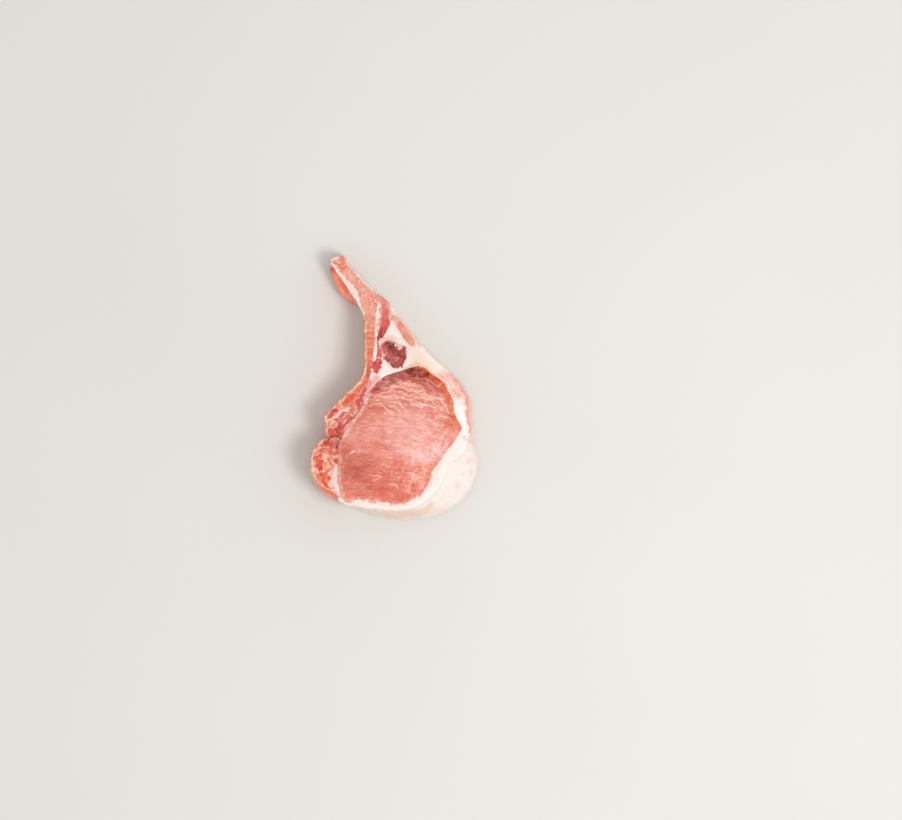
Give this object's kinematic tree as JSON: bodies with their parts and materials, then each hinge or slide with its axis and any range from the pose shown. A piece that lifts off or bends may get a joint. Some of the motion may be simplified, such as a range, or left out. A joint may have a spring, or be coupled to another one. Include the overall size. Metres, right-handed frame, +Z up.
{
  "type": "raw lamb chop",
  "caption": "Raw lamb rib chop lying flat: a pink oval eye of lean in a white fat cover, with a sawn chine, a short tapering rib, a side flap and a marbled tail.",
  "frame": {"origin": "middle of the chop's box, on the surface that it lies on", "axes": "+Y along the chop towards the rib tip, +Z up out of the upper cut face, +X towards the fat's outer side"},
  "size_m": [0.07, 0.1102, 0.0228],
  "materials": {
    "eye_lean": "moist raw lean meat, pale pink with fine white marbling",
    "fat": "firm white fat with a waxy sheen",
    "bone": "sawn rib, granular pink between white edges",
    "side_lean": "moist raw meat, orange red with white seams of fat",
    "seam_lean": "moist raw meat, deep red",
    "marrow": "sawn bone with dark red marrow"
  },
  "bodies": {
    "root": {"eye_muscle": "eye_lean", "fat_cover": "fat", "rib_bone": "bone", "rib_meat": "side_lean", "flap_muscle": "side_lean", "tail_muscle": "side_lean", "back_strip": "side_lean", "seam_muscle": "seam_lean", "chine_marrow": "marrow"}
  },
  "joints": []
}
